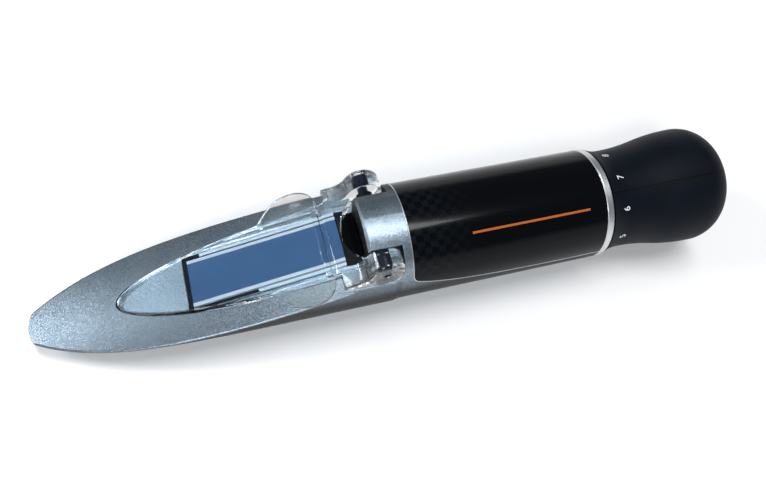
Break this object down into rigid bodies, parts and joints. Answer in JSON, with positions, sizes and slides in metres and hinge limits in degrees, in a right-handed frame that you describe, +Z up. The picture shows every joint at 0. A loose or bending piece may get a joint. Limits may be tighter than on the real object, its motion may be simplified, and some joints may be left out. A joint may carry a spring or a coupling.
{
  "type": "hand-held refractometer",
  "caption": "Optical hand refractometer: boat-shaped metal body, sloping prism under a clear hinged daylight plate, tube with label and rubber eyecup.",
  "frame": {"origin": "on the surface below the middle of the instrument's length, with the tube's axis level", "axes": "+X from the nose to the eyepiece, +Y to the right of a user who looks into the eyepiece, +Z up"},
  "size_m": [0.2024, 0.035, 0.035],
  "materials": {
    "silver_paint": "metallic silver-blue paint on aluminium, satin",
    "label_black": "gloss with a faint weave",
    "satin_silver": "satin",
    "prism_glass": "polished",
    "black_metal": "matte black anodised",
    "seal_rubber": "matte",
    "black_plastic": "matte",
    "pin_black": "blackened",
    "washer_black": "gloss",
    "brass": "turned",
    "clear_glass": "polished",
    "steel": "ground",
    "clear_acrylic": "polished clear acrylic",
    "cup_rubber": "matte"
  },
  "bodies": {
    "body": {"body_casing": "silver_paint", "tube_label": "label_black", "end_ring": "satin_silver", "prism": "prism_glass", "prism_cradle": "black_metal", "prism_seal": "seal_rubber", "prism_shroud": "black_plastic", "hinge_pin_right": "pin_black", "hinge_washer_right": "washer_black", "hinge_pin_left": "pin_black", "hinge_washer_left": "washer_black", "objective_guide": "black_metal", "objective_clip": "black_metal", "zero_screw_bush": "brass", "light_baffle": "black_metal", "eyepiece_bush": "black_metal", "reticle_disc": "clear_glass", "reticle_ring": "black_metal", "guide_pin": "steel", "focus_clip": "steel", "focus_o_ring": "seal_rubber"},
    "daylight_plate": {"daylight_plate": "clear_acrylic"},
    "focus_ring": {"focus_ring": "black_plastic", "helicoid_insert": "brass", "eyecup": "cup_rubber"},
    "lens_cell": {"lens_cell": "black_metal", "field_lens": "clear_glass", "lens_spacer": "black_metal", "eye_lens": "clear_glass", "lens_ring": "black_metal"},
    "objective_cell": {"objective_cell": "black_metal", "objective_lens": "clear_glass", "objective_ring": "black_metal"},
    "zero_screw": {"zero_screw": "steel", "zero_screw_clip": "steel"}
  },
  "joints": [
    {"name": "plate_hinge", "type": "hinge", "parent": "body", "child": "daylight_plate", "pos_m": [-0.0064, 0, 0.0292], "axis": [0, 1, 0], "range_deg": [0, 140]},
    {"name": "focus_turn", "type": "hinge", "parent": "body", "child": "focus_ring", "pos_m": [0.0738, 0, 0.0175], "axis": [1, 0, 0], "range_deg": [-252, 72]},
    {"name": "lens_slide", "type": "slide", "parent": "body", "child": "lens_cell", "axis": [1, 0, 0], "range_m": [-0.00308, 0.00088]},
    {"name": "zero_turn", "type": "hinge", "parent": "body", "child": "zero_screw", "pos_m": [0.0093, 0, 0.0025], "axis": [0, 0, 1], "range_deg": [-288.5, 288.5]},
    {"name": "objective_lift", "type": "slide", "parent": "body", "child": "objective_cell", "axis": [0, 0, 1], "range_m": [-0.0004, 0.0004]}
  ],
  "couplings": [
    {"joint": "lens_slide", "follows": "focus_turn", "m_per_rad": 0.00070028},
    {"joint": "zero_turn", "follows": "objective_lift", "rad_per_m": 12566}
  ]
}
